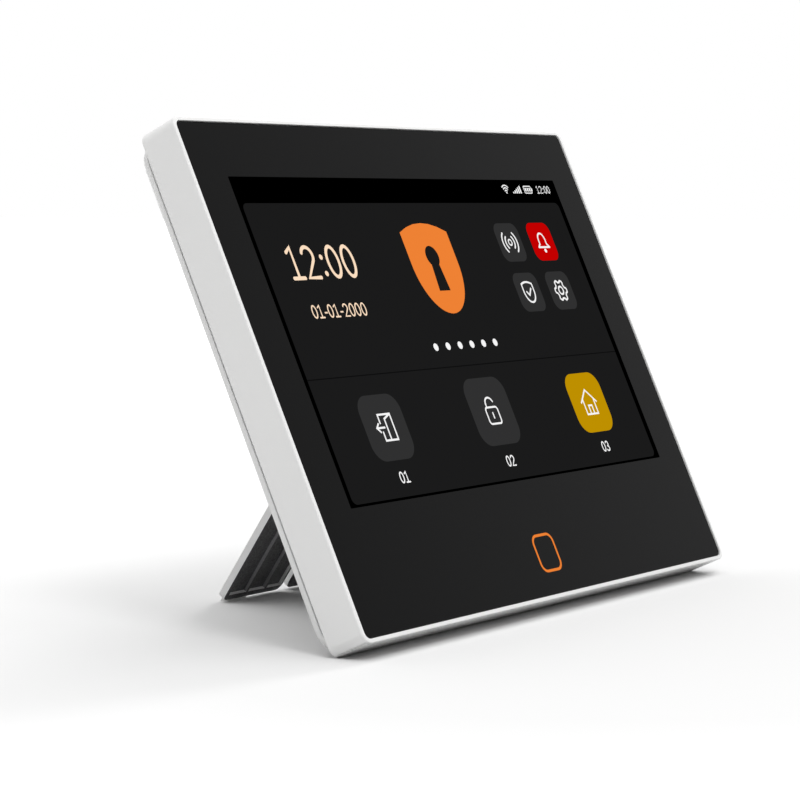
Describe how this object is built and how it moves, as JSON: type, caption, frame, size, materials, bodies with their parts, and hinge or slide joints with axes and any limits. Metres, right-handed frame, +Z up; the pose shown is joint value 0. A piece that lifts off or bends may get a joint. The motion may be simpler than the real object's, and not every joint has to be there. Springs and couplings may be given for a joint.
{
  "type": "alarm keypad panel",
  "caption": "Tabletop alarm panel: flat touch display in a shallow moulded housing, leaning back on a fold-out stand hinged to its rear cover.",
  "frame": {"origin": "middle of the footprint of the panel standing on its open stand, at table level", "axes": "+X to the right seen from the front, -Y towards the person in front, +Z up"},
  "size_m": [0.1824, 0.0872, 0.1258],
  "materials": {
    "white_plastic": "fine satin moulding",
    "front_glass": "flat polished glass, printed black on its back",
    "display": "lit display",
    "black_foam": "closed-cell foam tape",
    "dark_film": "thin film",
    "steel": "plain sheet and turned steel",
    "key_light": "clear plastic lit orange",
    "circuit_board": "green solder mask",
    "black_plastic": "fine moulding",
    "battery_wrap": "shrink wrap",
    "soft_pad": "pale silicone",
    "copper_flex": "flexible circuit"
  },
  "bodies": {
    "housing": {"front_frame": "white_plastic", "cover_glass": "front_glass", "glass_gasket": "black_foam", "touch_sensor": "dark_film", "display_cell": "display", "backlight_tray": "steel", "key_light_guide": "key_light", "key_board": "circuit_board", "main_board": "circuit_board", "processor_shield": "steel", "radio_shield": "steel", "board_screw_1": "steel", "board_screw_2": "steel", "board_screw_3": "steel", "board_screw_4": "steel", "battery_pack": "battery_wrap", "speaker": "black_plastic", "wifi_antenna": "copper_flex", "mobile_antenna": "copper_flex", "port_board": "circuit_board", "power_socket": "steel", "switch_body": "black_plastic", "tamper_switch": "black_plastic", "rear_cover": "white_plastic", "hinge_pin": "steel", "cover_screw_1": "steel", "cover_screw_2": "steel", "cover_screw_3": "steel", "cover_screw_4": "steel"},
    "stand": {"kickstand": "white_plastic", "stand_pad_left": "soft_pad", "stand_pad_right": "soft_pad"},
    "plunger": {"tamper_plunger": "white_plastic"},
    "knob": {"switch_knob": "black_plastic"}
  },
  "joints": [
    {"name": "stand_hinge", "type": "hinge", "parent": "housing", "child": "stand", "pos_m": [0, 0.00438, 0.0552], "axis": [1, 0, 0], "range_deg": [-58.5, 0]},
    {"name": "tamper_press", "type": "slide", "parent": "housing", "child": "plunger", "axis": [0, -0.909, 0.4168], "range_m": [0, 0.0012], "stiffness_N_per_m": 300, "springref_m": -0.001},
    {"name": "power_slide", "type": "slide", "parent": "housing", "child": "knob", "axis": [0, 0.4168, 0.909], "range_m": [0, 0.0025]}
  ]
}
